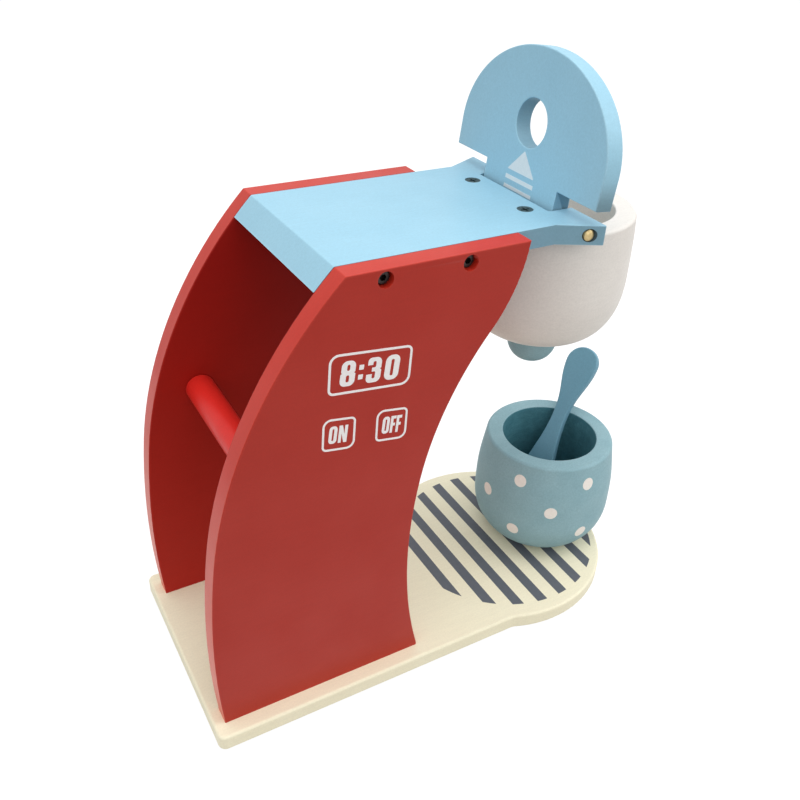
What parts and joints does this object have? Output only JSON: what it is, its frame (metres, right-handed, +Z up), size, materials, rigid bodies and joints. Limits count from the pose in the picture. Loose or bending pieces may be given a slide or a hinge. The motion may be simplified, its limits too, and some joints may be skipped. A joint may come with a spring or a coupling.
{
  "type": "toy coffee maker",
  "caption": "Painted wooden toy coffee maker: two curved side panels on a round-nosed base, hinged lid over a turned bowl with a nozzle, cross dowel grip, loose cup and spoon.",
  "frame": {"origin": "middle of the base board's underside, halfway along its length and width", "axes": "+X forwards from the grip towards the cup, +Y to the machine's left, +Z up"},
  "size_m": [0.2695, 0.13, 0.2898],
  "materials": {
    "cream_paint": "satin paint on board",
    "red_paint": "satin paint on board",
    "sky_paint": "satin paint on board",
    "blue_paint": "satin paint on board",
    "white_paint": "satin paint on turned wood",
    "cup_paint": "satin paint on turned wood",
    "brass": "polished",
    "black_screw": "black oxide",
    "steel_screw": "zinc plated"
  },
  "bodies": {
    "machine": {"base_board": "cream_paint", "side_panel_left": "red_paint", "side_panel_right": "red_paint", "cross_dowel": "red_paint", "top_block": "sky_paint", "nozzle": "blue_paint", "bowl": "white_paint", "hinge_pin_left": "brass", "hinge_pin_right": "brass", "nozzle_screw": "steel_screw", "bowl_screw_left": "steel_screw", "side_screw_left_rear": "black_screw", "base_screw_left_rear": "steel_screw", "side_screw_left_front": "black_screw", "base_screw_left_front": "steel_screw", "bowl_screw_right": "steel_screw", "side_screw_right_rear": "black_screw", "base_screw_right_rear": "steel_screw", "side_screw_right_front": "black_screw", "base_screw_right_front": "steel_screw"},
    "lid": {"lid": "blue_paint"},
    "cup": {"cup": "cup_paint"},
    "spoon": {"spoon": "blue_paint"}
  },
  "joints": [
    {"name": "lid_hinge", "type": "hinge", "parent": "machine", "child": "lid", "pos_m": [0.0563, 0, 0.2225], "axis": [0, 1, 0], "range_deg": [-18, 83.4]},
    {"name": "cup_lift", "type": "slide", "parent": "machine", "child": "cup", "axis": [0, 0, 1], "range_m": [0, 0.03]},
    {"name": "spoon_lift", "type": "slide", "parent": "cup", "child": "spoon", "axis": [0, 0, 1], "range_m": [0, 0.04]}
  ]
}
